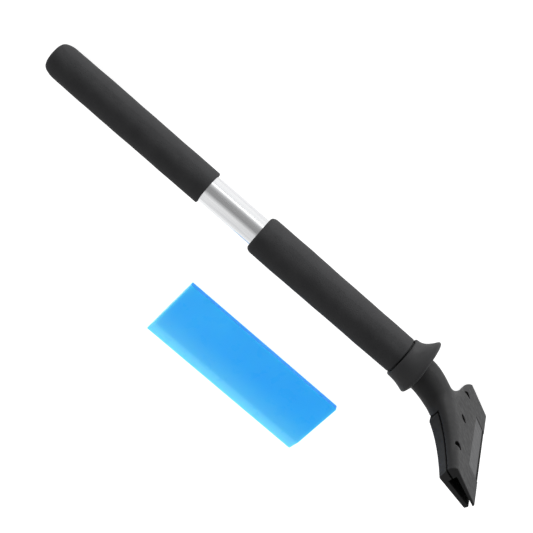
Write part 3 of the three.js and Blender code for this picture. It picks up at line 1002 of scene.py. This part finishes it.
def aimed(place, target):
    """A matrix at place whose -Z looks at target."""
    direction = Vector(target) - Vector(place)
    turn = direction.to_track_quat("-Z", "Y").to_matrix().to_4x4()
    return Matrix.Translation(place) @ turn


def softbox(name, place, target, size, power):
    light = bpy.data.lights.new(name, "AREA")
    light.shape = "RECTANGLE"
    light.size, light.size_y = size
    light.energy = power
    lamp = bpy.data.objects.new(name, light)
    lamp.matrix_world = aimed(place, target)
    bpy.context.scene.collection.objects.link(lamp)
    return lamp


def light_only(lamp, keep):
    """Limits a lamp to the objects that keep(name) allows; the floor doesn't block it."""
    lit = bpy.data.collections.new(lamp.name + "_lit")
    blocking = bpy.data.collections.new(lamp.name + "_blocking")
    for thing in bpy.context.scene.objects:
        if thing.type != "MESH" or thing.name == "studio_floor":
            continue
        blocking.objects.link(thing)
        if keep(thing.name):
            lit.objects.link(thing)
    lamp.light_linking.receiver_collection = lit
    lamp.light_linking.blocker_collection = blocking


def camera():
    a, e, r = (math.radians(CAMERA[k]) for k in ("azimuth", "elevation", "roll"))
    back = Vector((math.sin(a) * math.cos(e), -math.cos(a) * math.cos(e), math.sin(e)))
    level = Vector((math.cos(a), math.sin(a), 0))
    above = back.cross(level)
    right = level * math.cos(r) + above * math.sin(r)
    up = above * math.cos(r) - level * math.sin(r)
    data = bpy.data.cameras.new("camera")
    data.lens = CAMERA["lens"]
    data.sensor_width = 36
    cam = bpy.data.objects.new("camera", data)
    place = (Vector(CAMERA["target"]) + back * CAMERA["distance"]) * MM
    turn = Matrix((right, up, back)).transposed().to_4x4()
    cam.matrix_world = TOOL @ Matrix.Translation(place) @ turn
    bpy.context.scene.collection.objects.link(cam)
    bpy.context.scene.camera = cam


def lights():
    """A low key on the side that the screws face, and a strip that the bright metal mirrors."""
    low = TOOL @ (Vector(KEY_PLACE) * MM)
    key = softbox("key_softbox", low, TOOL @ Vector(KEY_TARGET), KEY_SIZE, KEY_POWER)
    light_only(key, lambda name: name not in UNLIT_BY_KEY)
    softbox("strip_softbox", STRIP_PLACE, STRIP_TARGET, STRIP_SIZE, STRIP_POWER)
    world = bpy.data.worlds.new("studio")
    world.use_nodes = True
    tree = world.node_tree
    background = tree.nodes["Background"]
    background.inputs["Color"].default_value = (1, 1, 1, 1)
    coords = tree.nodes.new("ShaderNodeTexCoord")
    facing = tree.nodes.new("ShaderNodeVectorMath")
    facing.operation = "DOT_PRODUCT"
    facing.inputs[1].default_value = DARK_SIDE
    tree.links.new(coords.outputs["Generated"], facing.inputs[0])
    fade = tree.nodes.new("ShaderNodeMapRange")
    fade.interpolation_type = "SMOOTHSTEP"
    inner, outer = (math.cos(math.radians(angle)) for angle in DARK_SPREAD)
    sockets = ("From Min", "From Max", "To Min", "To Max")
    for socket, number in zip(sockets, (outer, inner, *SKY)):
        fade.inputs[socket].default_value = number
    tree.links.new(facing.outputs["Value"], fade.inputs["Value"])
    tree.links.new(fade.outputs["Result"], background.inputs["Strength"])
    bpy.context.scene.world = world
    bpy.context.scene.view_settings.view_transform = "Standard"


# ---- assembly ----
def build():
    foam = foam_material()
    head_shades = ((0.008, 0.0081, 0.0085), (0.011, 0.0111, 0.0115))
    jaw_shades = ((0.009, 0.0091, 0.0094), (0.012, 0.0121, 0.0124))
    nylon = nylon_material("moulded_nylon", *head_shades, label=True)
    steel = metal_material("black_steel", (0.05, 0.05, 0.055), (0.09, 0.09, 0.095), 0.4)
    zinc = metal_material("plain_steel", (0.42, 0.43, 0.45), (0.56, 0.57, 0.59), 0.35, False)
    brass = metal_material("turned_brass", (0.55, 0.38, 0.14), (0.68, 0.5, 0.22), 0.32)
    upper_grip(foam)
    lower_grip(foam)
    tube(aluminium_material())
    spigot(nylon)
    finger_guard(guard_material())
    head(nylon)
    clamp_jaw(nylon_material("jaw_nylon", *jaw_shades))
    for side, y in SCREWS.items():
        screw(side, y, steel)
        threaded_insert(side, y, brass)
    blade(polyurethane_material())
    kept = {"rivet_rear": zinc, "rivet_front": zinc, "tube_plug": plug_material()}
    for node, material in kept.items():
        mesh = frame["nodes"][node].data
        mesh.materials.clear()
        mesh.materials.append(material)


build()
studio_floor()
camera()
lights()
